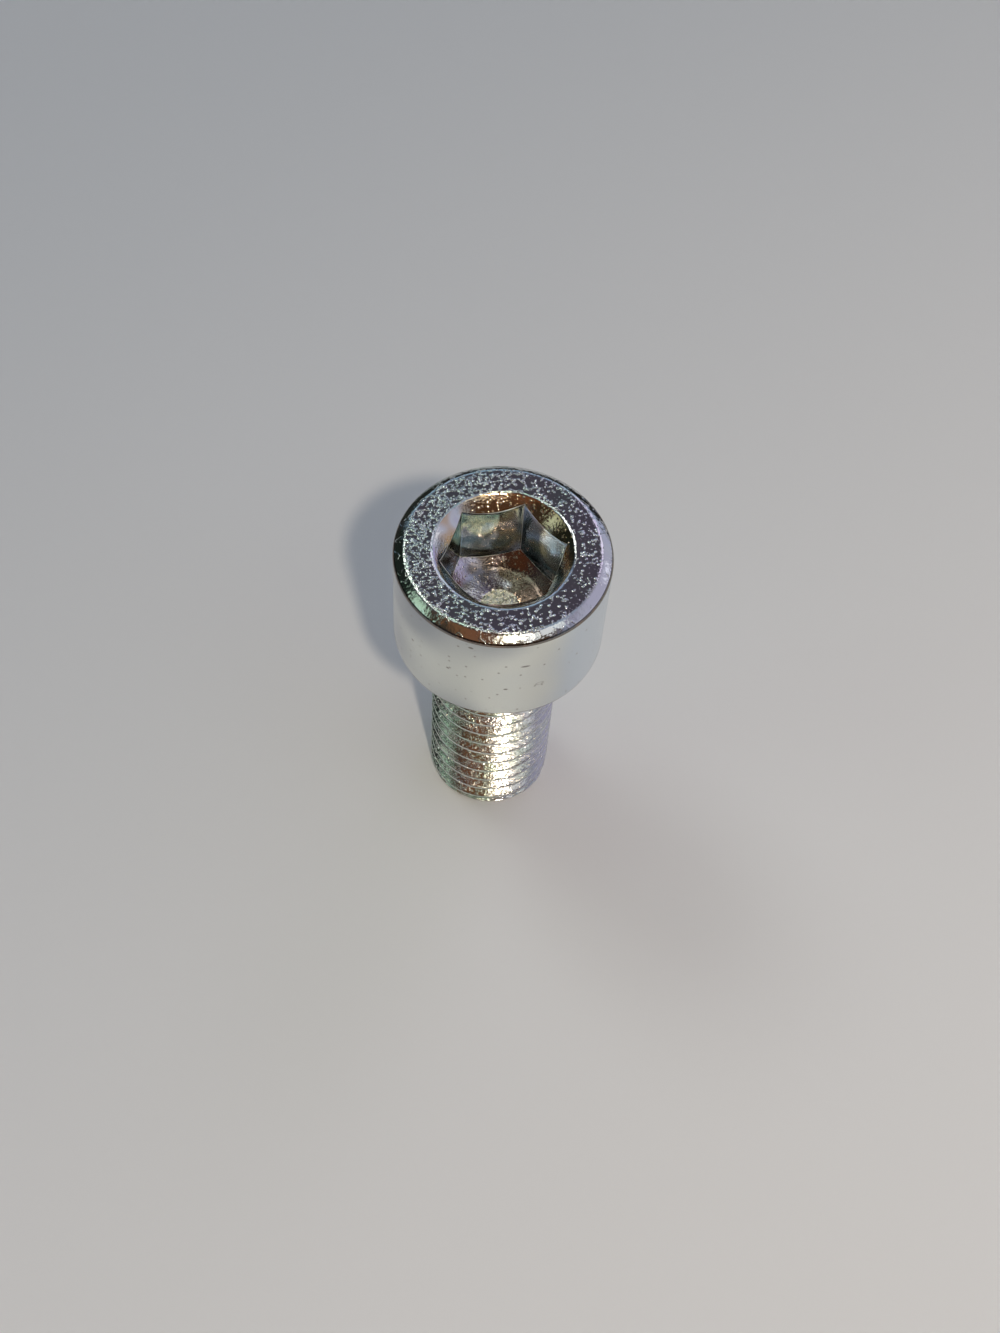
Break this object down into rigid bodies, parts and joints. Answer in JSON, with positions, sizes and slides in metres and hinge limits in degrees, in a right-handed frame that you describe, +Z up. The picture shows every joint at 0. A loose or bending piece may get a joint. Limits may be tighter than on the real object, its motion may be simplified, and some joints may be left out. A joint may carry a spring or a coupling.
{
  "type": "hex socket cap screw",
  "caption": "Short steel cap screw with a tall cylindrical head, a hexagonal key socket in its top and a fully threaded shank.",
  "frame": {"origin": "middle of the threaded end, on the surface that the screw stands on", "axes": "+Z runs up the screw's axis from the threaded end to the top of the head; two opposite corners of the hexagon lie on the X axis, and +Y completes the right-handed frame"},
  "size_m": [0.016, 0.016, 0.03],
  "materials": {
    "zinc_steel": "bright zinc plating over forged and rolled steel, faintly grained, with light handling scratches"
  },
  "bodies": {
    "root": {"cap_screw": "zinc_steel"}
  },
  "joints": []
}
